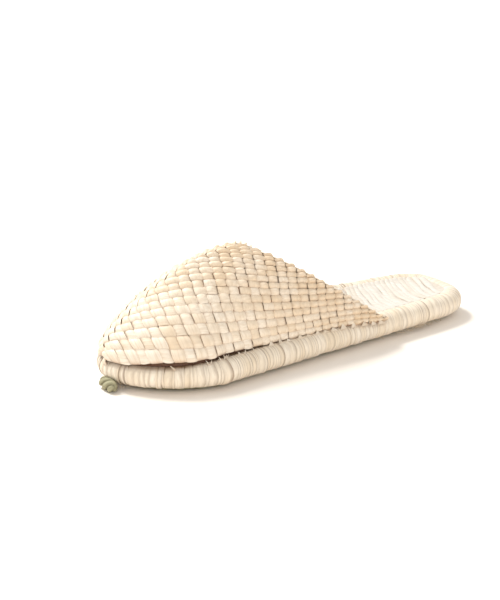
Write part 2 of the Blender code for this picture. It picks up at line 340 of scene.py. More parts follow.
    def _rope(
        self, finish: RopeFinish, tree: bpy.types.NodeTree, lines: bpy.types.NodeSocket,
        _tone: bpy.types.NodeSocket, painted_shade: bpy.types.NodeSocket,
    ) -> tuple[float, float]:
        """Colour and roughness of rope, with the same arguments and return as husk."""
        shader = tree.nodes["Principled BSDF"]
        fibre = (*(self.FIBRE_DARKER * c for c in finish.light[:3]), 1.0)
        fibres = self._mix(tree, lines, finish.light, fibre)
        # Painted shade: the fibres are mixed towards the groove shade colour in the grooves.
        tree.links.new(self._mix(tree, painted_shade, fibres, finish.groove_shade), shader.inputs["Base Color"])
        shader.inputs["Roughness"].default_value = 0.86
        return self.ROPE_BUMP


class Bench:
    """Small modelling steps that every sub-assembly uses."""

    @staticmethod
    def clear() -> None:
        """Deselect everything before an operator is used."""
        bpy.ops.object.select_all(action="DESELECT")

    @classmethod
    def pick(cls, piece: bpy.types.Object) -> None:
        """Select one piece alone and make it active."""
        cls.clear()
        piece.select_set(True)
        bpy.context.view_layer.objects.active = piece

    @staticmethod
    def named(name: str) -> bpy.types.Object:
        """Name the object that the last operator added."""
        made = bpy.context.object
        made.name = name
        made.data.name = name
        return made

    @staticmethod
    def places(piece: bpy.types.Object) -> np.ndarray:
        """Where a mesh's vertices are, one row each."""
        co = np.empty(len(piece.data.vertices) * 3)
        piece.data.vertices.foreach_get("co", co)
        return co.reshape(-1, 3)

    @staticmethod
    def lay(piece: bpy.types.Object, points: np.ndarray, uv: np.ndarray, tone: np.ndarray, painted_shade: np.ndarray) -> None:
        """Move a mesh's vertices to their places and store how the leaf lies on it.

        Args:
            piece: Mesh object to change.
            points: New place of each vertex.
            uv: Across and along coordinates of each vertex.
            tone: Warmth of the leaf at each vertex.
            painted_shade: Painted shade at each vertex, 1 where it lies deepest in shade.
        """
        data = piece.data
        data.vertices.foreach_set("co", np.ascontiguousarray(points, float).ravel())
        layer = data.uv_layers.get("UVMap") or data.uv_layers.new(name="UVMap")
        corner = np.empty(len(data.loops), int)
        data.loops.foreach_get("vertex_index", corner)
        layer.data.foreach_set("uv", np.ascontiguousarray(uv[corner], float).ravel())
        for name, values in (("tone", tone), ("painted_shade", painted_shade)):
            held = data.attributes.get(name) or data.attributes.new(name, "FLOAT", "POINT")
            held.data.foreach_set("value", np.ascontiguousarray(np.broadcast_to(values, len(points)), float))
        data.update()

    @classmethod
    def grid(cls, name: str, columns: int, rows: int) -> tuple[bpy.types.Object, np.ndarray, np.ndarray]:
        """Add a flat grid primitive.

        Args:
            name: Name of the piece.
            columns: Faces along.
            rows: Faces across.

        Returns:
            The object, and each vertex's share along and across, 0 to 1.
        """
        cls.clear()
        bpy.ops.mesh.primitive_grid_add(x_subdivisions=columns, y_subdivisions=rows, size=1.0)
        made = cls.named(name)
        co = cls.places(made)
        return made, co[:, 0] + 0.5, co[:, 1] + 0.5

    @classmethod
    def torus(cls, name: str, around: int, section: int) -> tuple[bpy.types.Object, np.ndarray, np.ndarray]:
        """Add a torus primitive.

        Args:
            name: Name of the piece.
            around: Segments round the ring.
            section: Segments round its section.

        Returns:
            The object, and each vertex's angle round the ring and round the section.
        """
        cls.clear()
        bpy.ops.mesh.primitive_torus_add(
            major_segments=around, minor_segments=section, major_radius=1.0, minor_radius=0.25,
        )
        made = cls.named(name)
        co = cls.places(made)
        ring = np.arctan2(co[:, 1], co[:, 0])
        return made, ring, np.arctan2(co[:, 2], np.hypot(co[:, 0], co[:, 1]) - 1.0)

    @classmethod
    def capsule(cls, name: str, around: int, along: int) -> tuple[bpy.types.Object, np.ndarray, np.ndarray]:
        """Add a sphere primitive, to be drawn out into a closed strand.

        Args:
            name: Name of the piece.
            around: Segments round the strand.
            along: Segments from end to end.

        Returns:
            The object, and each vertex's angle round the strand and share along it, 0 to 1.
        """
        cls.clear()
        bpy.ops.mesh.primitive_uv_sphere_add(segments=around, ring_count=along, radius=1.0)
        made = cls.named(name)
        co = cls.places(made)
        return made, np.arctan2(co[:, 1], co[:, 0]), np.arccos(np.clip(co[:, 2], -1, 1)) / math.pi

    @classmethod
    def disc(cls, name: str, insets: int) -> tuple[bpy.types.Object, np.ndarray, np.ndarray]:
        """Add a round face primitive.

        Args:
            name: Name of the piece.
            insets: Rings of faces inside its rim.

        Returns:
            The object, each vertex's place, and its angle from -Y round the +X side.
        """
        cls.clear()
        bpy.ops.mesh.primitive_circle_add(vertices=160, radius=1.0, fill_type="NGON")
        made = cls.named(name)
        bpy.ops.object.mode_set(mode="EDIT")
        for _ in range(insets):
            bpy.ops.mesh.inset(thickness=0.2)
        bpy.ops.object.mode_set(mode="OBJECT")
        co = cls.places(made)
        return made, co, np.arctan2(co[:, 0], -co[:, 1])

    @classmethod
    def thicken(cls, piece: bpy.types.Object, thickness: float) -> None:
        """Give an open sheet a wall behind its face, with closed rims."""
        cls.pick(piece)
        modifier = piece.modifiers.new("wall", "SOLIDIFY")
        modifier.thickness = thickness
        modifier.offset = -1.0
        modifier.use_rim = True
        modifier.use_even_offset = False
        bpy.ops.object.modifier_apply(modifier=modifier.name)

    @classmethod
    def join(cls, name: str, parts: list[bpy.types.Object]) -> bpy.types.Object:
        """Join several meshes into one object.

        Args:
            name: Name of the joined piece.
            parts: Meshes to join.

        Returns:
            The joined piece.
        """
        cls.pick(parts[0])
        for part in parts:
            part.select_set(True)
        bpy.ops.object.join()
        return cls.named(name)

    @classmethod
    def outward(cls, piece: bpy.types.Object) -> None:
        """Turn the faces of a closed mesh outwards."""
        cls.pick(piece)
        bpy.ops.object.mode_set(mode="EDIT")
        bpy.ops.mesh.select_all(action="SELECT")
        bpy.ops.mesh.normals_make_consistent(inside=False)
        bpy.ops.object.mode_set(mode="OBJECT")

    @classmethod
    def finish(
        cls, piece: bpy.types.Object, kit: ShaderKit, finish: HuskFinish | RopeFinish, angle: float = 50.0,
    ) -> None:
        """Dress a piece and hang it on the slipper's body.

        Args:
            piece: Finished mesh.
            kit: Source of its material.
            finish: What it is made of.
            angle: Edges sharper than this stay sharp, in degrees.
        """
        cls.pick(piece)
        bpy.ops.object.shade_smooth_by_angle(angle=math.radians(angle))
        piece.data.materials.clear()
        piece.data.materials.append(kit.material(finish))
        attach(piece, "root")
        log.info("%s: %d faces", piece.name, len(piece.data.polygons))


@dataclass
class SlipperForm:
    """The slipper's main sizes and surfaces, as the CAD has them."""

    length: float = 268 * MM
    ball_width: float = 98.5 * MM
    heel_width: float = 69.5 * MM
    ball_at: float = 0.215
    heel_at: float = 0.845
    toe_power: float = 1.72
    heel_power: float = 3.1
    roll_radius: float = 7.75 * MM
    roll_lift: float = 2.6 * MM
    peak_height: float = 71.3 * MM
    peak_back: float = 94.4 * MM
    collar_end_back: float = 188 * MM
    upper_start: float = 1.6 * MM
    wall: float = 2.2 * MM
    strips: int = 32
    nose_height: float = 6.4 * MM
    nose_length: float = 7.0 * MM
    ridge_power: float = 2.03
    section_power: float = 1.46
    row_power_toe: float = 1.6
    row_power_collar: float = 0.88
    arc_power: float = 1.22
    foot_drift: tuple[float, float] = (0.028, -0.012)
    ridge_drift: tuple[float, float] = (-0.03, -0.024)
    clearance: float = 0.3 * MM
    shift: float = 2.1 * MM
    foot_share: tuple[float, ...] = (0.0, 0.046, 0.115, 0.229, 0.382, 0.534, 0.664, 1.0)
    foot_inset_mm: tuple[float, ...] = (1.7, 2.4, 3.6, 10.0, 9.6, 6.6, 0.8, 0.8)
    ridge_line: tuple[np.ndarray, np.ndarray] = field(init=False)
    foot_line: tuple[np.ndarray, np.ndarray] = field(init=False)

    def __post_init__(self) -> None:
        """Measure the ridge and the foot line once."""
        self.ridge_line = self._even_back(self.peak_back, self.ridge_height, lambda back: 0 * back)
        self.foot_line = self._even_back(self.collar_end_back, lambda back: 0 * back, self.upper_half_width)

    @property
    def tip_y(self) -> float:
        """Where the sole's tip lies."""
        return self.shift - self.length / 2

    def half_width(self, back: np.ndarray) -> np.ndarray:
        """Half of the sole's width at a distance back from its tip."""
        share = np.asarray(back) / self.length
        taper = (self.heel_width - self.ball_width) * (share - self.ball_at) / (self.heel_at - self.ball_at)
        body = self.ball_width + np.where(share < self.ball_at, 0.0, taper)
        to_toe = np.clip(1 - share / self.ball_at, 0, 1)
        to_heel = np.clip((share - self.heel_at) / (1 - self.heel_at), 0, 1)
        toe = np.maximum(1 - to_toe**self.toe_power, 0) ** (1 / self.toe_power)
        heel = np.maximum(1 - to_heel**self.heel_power, 0) ** (1 / self.heel_power)
        return body / 2 * toe * heel

    def inset_at(self, x: np.ndarray, back: np.ndarray) -> np.ndarray:
        """Distance in from the sole's side at a place."""
        return self.half_width(np.clip(back, 0, self.length)) - np.abs(x)

    def side_line(self, inset: float | np.ndarray, samples: int = 721) -> tuple[np.ndarray, np.ndarray]:
        """One side of the outline, moved in along its normal.

        Args:
            inset: Distance in, one for all or one each.
            samples: Number of points.

        Returns:
            Distances back and half widths.
        """
        turn = np.linspace(0, math.pi, samples)
        back = self.length * (1 - np.cos(turn)) / 2
        wide = self.half_width(back)
        d_wide, d_back = np.gradient(wide, turn), np.gradient(back, turn)
        size = np.maximum(np.hypot(d_wide, d_back), 1e-12)
        moved = np.broadcast_to(inset, back.shape)
        back_in = back + moved * d_wide / size
        wide_in = wide - moved * d_back / size
        wide_in[[0, -1]] = 0
        back_in[0], back_in[-1] = moved[0], self.length - moved[-1]
        return back_in, np.maximum(wide_in, 0)

    def outline(self, inset: float, count: int) -> tuple[np.ndarray, float]:
        """Closed outline in plan, evenly spaced, from the toe round the +X side.

        Args:
            inset: Distance in from the sole's edge.
            count: Number of points.

        Returns:
            Points in plan, and the length of the line.
        """
        back, wide = self.side_line(inset)
        x = np.concatenate([wide, -wide[-2:0:-1]])
        y = np.concatenate([back, back[-2:0:-1]]) + self.tip_y
        loop_x, loop_y = np.append(x, x[0]), np.append(y, y[0])
        along = np.concatenate([[0], np.cumsum(np.hypot(np.diff(loop_x), np.diff(loop_y)))])
        at = along[-1] * np.arange(count) / count
        return np.column_stack([np.interp(at, along, loop_x), np.interp(at, along, loop_y)]), float(along[-1])

    @staticmethod
    def nearest(turn: np.ndarray, line: np.ndarray) -> np.ndarray:
        """Number of the point of a closed line that each angle round it reaches."""
        return (turn / TAU % 1.0 * len(line)).round().astype(int) % len(line)

    @staticmethod
    def normals(line: np.ndarray, reach: int) -> np.ndarray:
        """Outward normals of an outline, each measured over a number of points either way."""
        ahead = np.roll(line, -reach, 0) - np.roll(line, reach, 0)
        ahead /= np.maximum(np.linalg.norm(ahead, axis=1), 1e-9)[:, None]
        return np.column_stack([ahead[:, 1], -ahead[:, 0]])

    def roll_top(self, inset: np.ndarray) -> np.ndarray:
        """Height of the roll's top above the floor at an inset from the sole's edge."""
        across = np.minimum(np.abs(inset - self.roll_radius), self.roll_radius)
        return self.roll_lift + self.roll_radius + np.sqrt(self.roll_radius**2 - across**2)

    def foot_inset(self, back: np.ndarray) -> np.ndarray:
        """Inset of the upper's foot from the sole's edge."""
        return np.interp(back / self.length, self.foot_share, self.foot_inset_mm) * MM

    def foot_height(self, back: np.ndarray) -> np.ndarray:
        """Height of the upper's lower edge, just clear of the roll."""
        inset = self.foot_inset(back)
        under = [self.roll_top(inset + self.wall * k) for k in (0.0, 0.35, 0.7, 1.0)]
        return np.max(under, axis=0) + self.clearance

    def upper_half_width(self, back: np.ndarray) -> np.ndarray:
        """Half of the upper's width at its foot."""
        line_back, _ = self.side_line(0.0)
        moved_back, moved_wide = self.side_line(self.foot_inset(line_back))
        order = np.argsort(moved_back)
        return np.interp(back, moved_back[order], moved_wide[order], left=0.0)

    def ridge_height(self, back: np.ndarray) -> np.ndarray:
        """Height of the upper's middle line."""
        share = np.clip((back - self.upper_start) / (self.peak_back - self.upper_start), 0, 1)
        nose = np.clip((back - self.upper_start) / self.nose_length, 0, 1)
        low = self.foot_height(back)
        blunt = self.nose_height * np.sqrt(1 - (1 - nose) ** 2)
        rise = (self.peak_height - self.nose_height - low) * (1 - (1 - share) ** self.ridge_power)
        return low + blunt + rise

    def _even_back(self, end: float, height_of: object, wide_of: object) -> tuple[np.ndarray, np.ndarray]:
        """Table from a share of a line's real length to its distance back."""
        back = self.upper_start + (end - self.upper_start) * (1 - np.cos(np.linspace(0, math.pi / 2, 400)))
        step = np.sqrt(np.diff(back) ** 2 + np.diff(height_of(back)) ** 2 + np.diff(wide_of(back)) ** 2)
        along = np.concatenate([[0], np.cumsum(step)])
        return along / along[-1], back

    def arch_point(self, back: np.ndarray, share: np.ndarray, steps: int = 72) -> np.ndarray:
        """Points of the arch at distances back and shares of its arc from the +X foot."""
        wide, low = self.upper_half_width(back), self.foot_height(back)
        tall = self.ridge_height(back) - low
        turn = np.linspace(0, math.pi / 2, steps)
        x = wide[:, None] * np.cos(turn) ** (2 / self.section_power)
        z = tall[:, None] * np.sin(turn) ** (2 / self.section_power)
        arc = np.cumsum(np.hypot(np.diff(x, axis=1), np.diff(z, axis=1)), axis=1)
        arc = np.concatenate([np.zeros((len(back), 1)), arc], axis=1)
        want = (1 - np.abs(1 - 2 * share)) * arc[:, -1]
        after = np.clip((arc < want[:, None]).sum(1), 1, steps - 1)
        row = np.arange(len(back))
        low_arc, high_arc = arc[row, after - 1], arc[row, after]
        part = np.clip((want - low_arc) / np.maximum(high_arc - low_arc, 1e-12), 0, 1)
        out_x, out_z = (v[row, after - 1] + (v[row, after] - v[row, after - 1]) * part for v in (x, z))
        side = np.where(share > 0.5, -1.0, 1.0)
        return np.column_stack([out_x * side, back + self.tip_y, low + out_z])

    @staticmethod
    def drifted(grown: np.ndarray, drift: tuple[float, float]) -> np.ndarray:
        """Share of a line's length that a share of the mat reaches."""
        turn = math.pi * np.clip(grown, 0, 1)
        return grown + drift[0] * np.sin(turn) + drift[1] * np.sin(2 * turn)

    def mat_point(self, a: np.ndarray, b: np.ndarray) -> np.ndarray:
        """Where a point of the plaited mat lies on the upper. A and B count strips from the toe."""
        a, b = np.maximum(a, 0.0), np.maximum(b, 0.0)
        both = np.maximum(a + b, 1e-9)
        grown = both / self.strips
        share = np.clip(a / both, 0, 1)
        power = self.row_power_toe + (self.row_power_collar - self.row_power_toe) * np.minimum(grown, 1)
        ridge = np.interp(self.drifted(grown, self.ridge_drift), *self.ridge_line)
        foot = np.interp(self.drifted(grown, self.foot_drift), *self.foot_line)
        aside = np.abs(1 - 2 * share)
        from_ridge = 1 - (1 - aside) ** self.arc_power
        arc_share = np.where(share > 0.5, 1 + from_ridge, 1 - from_ridge) / 2
        return self.arch_point(ridge + (foot - ridge) * aside**power, arc_share)

    def mat_normal(self, a: np.ndarray, b: np.ndarray, step: float = 0.3) -> np.ndarray:
        """Outward normal of the upper at points of the mat."""
        inner = np.minimum(1.0, (self.strips - step) / np.maximum(a + b, 1e-9))
        a, b = a * inner, b * inner
        along_a = self.mat_point(a + step, b) - self.mat_point(np.maximum(a - step, 0), b)
        along_b = self.mat_point(a, b + step) - self.mat_point(a, np.maximum(b - step, 0))
        normal = np.cross(along_b, along_a)
        normal[np.linalg.norm(normal, axis=1) < 1e-12] = (0.0, -1.0, 0.0)
        return normal / np.maximum(np.linalg.norm(normal, axis=1), 1e-12)[:, None]


@dataclass
class PlaitedUpper:
    """The upper: two families of husk strips plaited over one another, and the inner face.

    A pair of values is for the stretches where a strip runs up the side and where it runs lengthwise.
    """

    form: SlipperForm
    kit: ShaderKit
    base_lift: float = 0.35 * MM
    wave: tuple[float, float] = (0.36 * MM, 0.90 * MM)
    crown: tuple[float, float] = (0.58 * MM, 0.80 * MM)
    shade: tuple[float, float] = (0.80, 0.22)
    wide_over: tuple[float, float] = (0.515, 0.56)
    wide_under: tuple[float, float] = (0.50, 0.455)
    leaf: float = 0.45 * MM
    per_cell: int = 8
    across: int = 6
    collar_from: float = 0.45
    collar_crown: float = 1.4
    collar_narrowing: float = 0.18
    foot_tuck: float = 0.9 * MM
    foot_reach: float = 0.25
    foot_droop: float = 1.3 * MM
    foot_gap: float = 0.31
    gap_reach: float = 1.5
    gap_end: float = 20.0
    face_depth: float = 0.5 * MM
    face_relief: float = 0.7 * MM
    face_wall: float = 0.7 * MM
    face_foot_reach: float = 1.6
    fold_radius: tuple[float, float] = (0.85 * MM, 0.45 * MM)
    fold_leaf: float = 0.35 * MM
    tie_leaf: float = 0.5 * MM
    tie_path_mm: tuple[tuple[float, float, float], ...] = (
        (-0.5, 4.4, 26.0), (-0.3, 2.0, 23.4), (0.0, 0.9, 20.6), (0.3, 0.9, 18.6), (0.5, -0.1, 16.4), (0.6, 0.5, 14.6),
    )

    def build(self) -> None:
        """Build the strips, the inner face, the collar's fold and the toe tie."""
        rng = random.Random(SEED)
        for family in Family:
            strips = [self._strip(family, k, rng) for k in range(self.form.strips)]
            piece = Bench.join(f"plait_{family.name.lower()}", strips)
            Bench.thicken(piece, self.leaf)
            Bench.finish(piece, self.kit, PLAIT)
            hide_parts("upper")
        self._inner_face()
        self._collar_fold()
        self._toe_tie()

    def _strip(self, family: Family, k: int, rng: random.Random) -> bpy.types.Object:
        """Lay one strip over and under the others.

        Args:
            family: Edge that the strip rises from.
            k: Its number from the toe.
            rng: Seeded source of the leaf's irregularity.

        Returns:
            The strip as an open sheet.
        """
        run = self.form.strips - k - 0.5
        piece, t, across = Bench.grid("strip", max(4, round(run * self.per_cell)), self.across)
        t = t * run
        cell = np.clip(np.floor(t).astype(int), 0, int(run) + 1)

        def each_cell(low: float, high: float) -> np.ndarray:
            return np.array([rng.uniform(low, high) for _ in range(int(run) + 2)])[cell]

        swing = np.sin(math.pi * t) * (1 if (k % 2 == 0) == (family is Family.FROM_FAR_EDGE) else -1)
        middle = np.full_like(t, k + 0.5)
        to_collar = np.clip((t + k) / self.form.strips - self.collar_from, 0, 0.5) * 2
        over = np.maximum(swing, 0) ** (0.5 + 0.2 * to_collar)
        lengthwise = self._course(family, middle, t)
        wave, crown, shade, wide, thin = (
            pair[0] + (pair[1] - pair[0]) * lengthwise
            for pair in (self.wave, self.crown, self.shade, self.wide_over, self.wide_under)
        )
        phase, sway, girth = rng.uniform(0, 6.28), rng.uniform(0.03, 0.085), rng.uniform(0.92, 1.05)
        thin = thin * (1 - self.collar_narrowing * to_collar)
        swell = each_cell(0.91, 1.07)
        half = (thin + (wide - thin) * over) * girth * (1 + (swell - 1) * over)
        side = 2 * across - 1
        offset = middle + side * half + sway * np.sin(0.9 * t + phase)
        a, b = (offset, t) if family is Family.FROM_FAR_EDGE else (t, offset)
        a, b = self._above_gap(a, b)
        bulge = each_cell(0.75, 1.3)
        at_foot = np.exp(-t / self.foot_reach)
        lift = self.base_lift + wave * np.sign(swing) * np.abs(swing) ** 0.72 - self.foot_tuck * at_foot
        lift = lift + crown * bulge * (1 - side**2) * over * (1 + self.collar_crown * to_collar)
        points = self.form.mat_point(a, b) + self.form.mat_normal(a, b) * lift[:, None]
        behind_gap = np.clip((np.maximum(a, b) - self.gap_end + 4) / 5, 0, 1)
        points[:, 2] -= self.foot_droop * at_foot**2 * behind_gap
        warm = rng.uniform(0.25, 0.75) + 0.4 * to_collar
        tone = np.clip(warm + 0.15 * each_cell(-1, 1), 0.05, 1)
        # Painted shade where the strip dives under the other family, at its foot over the gap above the roll, and a
        # little towards the collar.
        painted_shade = np.clip(0.55 - 0.9 * np.abs(swing) ** 0.6 * np.sign(swing), 0, 1) * shade
        painted_shade = np.maximum(painted_shade * (1 + 0.6 * to_collar), 0.6 * at_foot**2) + 0.05 * to_collar
        Bench.lay(piece, points, np.column_stack([across, t * 0.6 + k * 3.7]), tone, np.minimum(painted_shade, 1))
        return piece

    @staticmethod
    def _course(family: Family, k: np.ndarray, t: np.ndarray) -> np.ndarray:
        """How far a strip runs lengthwise at each of its points.

        Args:
            family: Edge that the strip rises from.
            k: Its number from the toe.
            t: Strips counted along it.

        Returns:
            1 where it runs lengthwise and 0 where it runs up the side, in between over the top.
        """
        a, b = (k, t) if family is Family.FROM_FAR_EDGE else (t, k)
        near_side = np.clip(0.5 + 1.6 * (b - a) / np.maximum(a + b, 1e-6), 0, 1)
        along = near_side if family is Family.FROM_FAR_EDGE else 1 - near_side
        low_rows = np.clip((np.minimum(a, b) - 1.5) / 3.0, 0, 1)
        return 0.5 + (along - 0.5) * (0.15 + 0.85 * low_rows)

    def _above_gap(self, a: np.ndarray, b: np.ndarray) -> tuple[np.ndarray, np.ndarray]:
        """Lift the mat's two side edges off the roll, towards the toe."""

        def lift(in_from_edge: np.ndarray, from_toe: np.ndarray) -> np.ndarray:
            in_gap = np.clip((self.gap_end - from_toe) / 6, 0, 1) * np.clip((from_toe - 2) / 4, 0, 1)
            return self.foot_gap * np.exp(-np.maximum(in_from_edge, 0) / self.gap_reach) * in_gap

        return a + lift(a, b), b + lift(b, a)

    def _inner_face(self) -> None:
        """The plait seen from inside: one closed wall with the strips' backs standing in, coloured darker as painted
        shade.
        """
        form, fine = self.form, 3
        count = form.strips * fine
        at = [(i, j) for i in range(count + 1) for j in range(count + 1 - i)]
        row = {ij: n for n, ij in enumerate(at)}
        faces = []
        for i in range(count):
            for j in range(count - i):
                faces.append((row[i, j], row[i + 1, j], row[i, j + 1]))
                if i + j + 2 <= count:
                    faces.append((row[i + 1, j], row[i + 1, j + 1], row[i, j + 1]))
        steps = np.array(at) / fine
        a, b = steps[:, 0], steps[:, 1]
        under = np.abs(np.sin(math.pi * a) * np.sin(math.pi * b)) ** 0.5
        normal = form.mat_normal(a, b)
        inner = form.mat_point(a, b) - normal * (form.wall - self.face_depth + self.face_relief * under)[:, None]
        data = bpy.data.meshes.new("upper_inner_face")
        data.from_pydata([tuple(map(float, p)) for p in inner], [], [tuple(reversed(f)) for f in faces])
        piece = bpy.data.objects.new("upper_inner_face", data)
        bpy.context.scene.collection.objects.link(piece)
        even = ((np.floor(a) + np.floor(b)) % 2).astype(float)
        uv = np.column_stack([np.where(even > 0, a, b), np.where(even > 0, b, a) * 0.6])
        at_foot = np.exp(-((np.minimum(a, b) / self.face_foot_reach) ** 2))
        # Painted shade between the strips' backs, and deep at the foot where the gap over the roll shows.
        Bench.lay(piece, inner, uv, 0.35 + 0.3 * even, np.maximum(0.22 * (1 - under), at_foot))
        first = data.polygons[0]
        if Vector(normal[first.vertices[0]]).dot(first.normal) > 0:
            data.flip_normals()
        Bench.thicken(piece, self.face_wall)
        Bench.outward(piece)
        Bench.finish(piece, self.kit, SHADED_INNER_FACE)
        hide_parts("upper")

    def _collar_fold(self) -> None:
        """The turned-back strips along the collar, one small fold for each."""
        form, folds = self.form, self.form.strips * 2
        piece, along, around = Bench.grid("collar_fold", folds * 6, 10)
        share = 0.004 + 0.992 * along
        total = form.strips - 0.25
        a, b = total * share, total * (1 - share)
        bead = np.abs(np.sin(math.pi * share * folds)) ** 0.5
        turn = (around * 1.45 - 0.10) * math.pi
        reach = self.fold_radius[0] + self.fold_radius[1] * bead
        normal = form.mat_normal(a, b)
        out = form.mat_point(a * 1.01, b * 1.01) - form.mat_point(a * 0.97, b * 0.97)
        out -= normal * (out * normal).sum(1)[:, None]
        out /= np.maximum(np.linalg.norm(out, axis=1), 1e-9)[:, None]
        centre = form.mat_point(a, b) - normal * 0.5 * MM
        points = centre + normal * (np.cos(turn) * reach * 1.25)[:, None] + out * (np.sin(turn) * reach)[:, None]
        tone = 0.35 + 0.3 * np.abs(np.sin(share * 611.0))
        # Painted shade between the folds.
        Bench.lay(piece, points, np.column_stack([share * folds * 0.5, around]), tone, 0.5 * (1 - bead))
        Bench.thicken(piece, self.fold_leaf)
        Bench.outward(piece)
        Bench.finish(piece, self.kit, PLAIT)

    def _toe_tie(self) -> None:
        """The strip that ties the mat's corner down to the roll at the toe."""
        piece, along, across = Bench.grid("toe_tie", 24, 6)
        path = np.array(self.tie_path_mm) * MM
        knots = np.linspace(0, 1, len(path))
        points = np.column_stack([np.interp(along, knots, path[:, c]) for c in range(3)])
        side = 2 * across - 1
        points[:, 0] += side * (2.6 - 1.5 * np.sin(along * 3.0) ** 2) * MM
        points[:, 1] += self.form.tip_y + 0.6 * MM * side**2
        # Painted shade, darker towards the tie's edges.
        Bench.lay(piece, points, np.column_stack([across, along * 3]), 0.45, 0.5 * np.abs(side) ** 3)
        Bench.thicken(piece, self.tie_leaf)
        Bench.outward(piece)
        Bench.finish(piece, self.kit, PLAIT)


@dataclass
class EdgeRoll:
    """The thick edge: a core wound crosswise with husk strips that lap each other."""

    form: SlipperForm
    kit: ShaderKit
    narrow: float = 1.2 * MM
    wide: float = 5.0 * MM
    spread: float = 1.7
    overlap: float = 1.22
    skew: float = 0.45
    lap: float = 0.20 * MM
    leaf: float = 0.34 * MM
    seat: float = 0.35 * MM
    swell_mm: tuple[float, float] = (-0.08, 0.12)
    sag_mm: tuple[float, float] = (-0.6, 0.3)
    loose_share: float = 0.06
    loose_swell_mm: float = 0.25
    # Strength of painted shade along a wrap's lapped edges: the value for loose wraps, then the range for the others.
    loose_edge_shade: float = 0.62
    line: tuple[float, float] = (0.12, 0.42)
    around: int = 28
    samples: int = 2600
    core_in: float = 0.9 * MM
    gap_shade_in: float = 0.10
    gap_shade_width: float = 0.24
    gap_shade_inner: float = 2.8
    gap_share: tuple[float, ...] = (0.0, 0.05, 0.12, 0.42, 0.5, 0.68, 0.71)
    gap_depth: tuple[float, ...] = (0.4, 0.7, 1.0, 1.0, 0.5, 0.4, 0.0)

    def build(self) -> None:
        """Wind the strips round the core."""
        rng = random.Random(SEED + 1)
        line, length = self.form.outline(self.form.roll_radius, self.samples)
        outward = self.form.normals(line, 8)
        self._core(line, outward)
        widths = []
        while sum(widths) < length:
            widths.append(self.narrow + (self.wide - self.narrow) * rng.random() ** self.spread)
        scale = length / sum(widths)
        start, wraps = 0.0, []
        for width in widths:
            wraps.append(self._wrap(start, width * scale, line, outward, length, rng))
            start += width * scale
        piece = Bench.join("wound_edge", wraps)
        Bench.outward(piece)
        Bench.finish(piece, self.kit, WOUND, 60)
        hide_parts("edge_roll")

    def _core(self, line: np.ndarray, outward: np.ndarray) -> None:
        """The core that shows between wraps, coloured dark brown as painted shade in the gaps."""
        piece, ring, section = Bench.torus("roll_core", 260, 12)
        spot = self.form.nearest(ring, line)
        reach = self.form.roll_radius - self.core_in
        flat = line[spot] + outward[spot] * (reach * np.cos(section))[:, None]
        height = self.form.roll_lift + self.form.roll_radius + reach * np.sin(section)
        Bench.lay(piece, np.column_stack([flat, height]), np.column_stack([section, ring * 40]), 0.6, 0.2)
        Bench.outward(piece)
        Bench.finish(piece, self.kit, GAP_SHADE_CORE)

    def _wrap(
        self, start: float, width: float, line: np.ndarray, outward: np.ndarray, length: float, rng: random.Random,
    ) -> bpy.types.Object:
        """Wind one strip once round the core.

        Args:
            start: Where along the roll it begins.
            width: Its visible width.
            line: The roll's middle line in plan.
            outward: Its outward normals.
            length: The line's length.
            rng: Seeded source of its irregularity.

        Returns:
            The wrap as a closed band.
        """
        piece, ring, section = Bench.torus("wrap", self.around, 8)
        v = 0.5 * np.sign(np.cos(section)) * np.abs(np.cos(section)) ** 0.7
        thick = 0.5 * self.leaf * np.sign(np.sin(section)) * np.abs(np.sin(section)) ** 0.8
        skew, phase = rng.uniform(-self.skew, self.skew), rng.uniform(0, 6.28)
        ripple = 0.06 * np.sin(3 * ring + phase)
        at = start + width * (0.5 + v * self.overlap + skew * np.sin(ring) * 0.5 + ripple)
        spot = at / length * len(line)
        low = np.floor(spot).astype(int) % len(line)
        high = (low + 1) % len(line)
        part = (spot - np.floor(spot))[:, None]
        flat, side = (held[low] * (1 - part) + held[high] * part for held in (line, outward))
        loose = rng.random() < self.loose_share
        swell = (self.loose_swell_mm if loose else rng.uniform(*self.swell_mm)) * MM
        reach = self.form.roll_radius - self.seat + swell + self.lap * (v + 0.1) + thick
        sag = rng.uniform(*self.sag_mm) * MM * np.clip(-np.sin(ring) - 0.25, 0, 1)
        reach = reach + 0.05 * MM * (1 - 4 * v**2) + sag
        flat = flat + side * (reach * np.cos(ring))[:, None]
        height = self.form.roll_lift + self.form.roll_radius + reach * np.sin(ring)
        tone = rng.uniform(0.35, 0.85)
        # Painted shade along the wrap's lapped edges, and on the roll under the upper's foot.
        inner = np.clip((0.42 - np.abs(v + 0.03)) / 0.42, 0, 1)
        edge_shade = (self.loose_edge_shade if loose else rng.uniform(*self.line)) * (1 - inner) ** 9
        edge_shade = np.maximum(edge_shade, self._under_upper(flat[:, 1] - self.form.tip_y, ring))
        uv = np.column_stack([v + 0.5, ring * 1.4 + start * 900])
        Bench.lay(piece, np.column_stack([flat, height]), uv, tone, edge_shade)
        return piece

    def _under_upper(self, back: np.ndarray, ring: np.ndarray) -> np.ndarray:
        """Shade on the roll along the upper's foot, deepest where a gap shows towards the toe.

        Args:
            back: Distance back from the tip.
            ring: Angle round the roll, 0 outwards and a quarter turn on top.

        Returns:
            Shade of each point.
        """
        radius = self.form.roll_radius
        foot = np.arccos(np.clip((radius - self.form.foot_inset(back)) / radius, -1, 1))
        inward = ring - foot - self.gap_shade_in
        width = np.where(inward > 0, self.gap_shade_inner * self.gap_shade_width, self.gap_shade_width)
        return np.interp(back / self.form.length, self.gap_share, self.gap_depth) * np.exp(-((inward / width) ** 2))


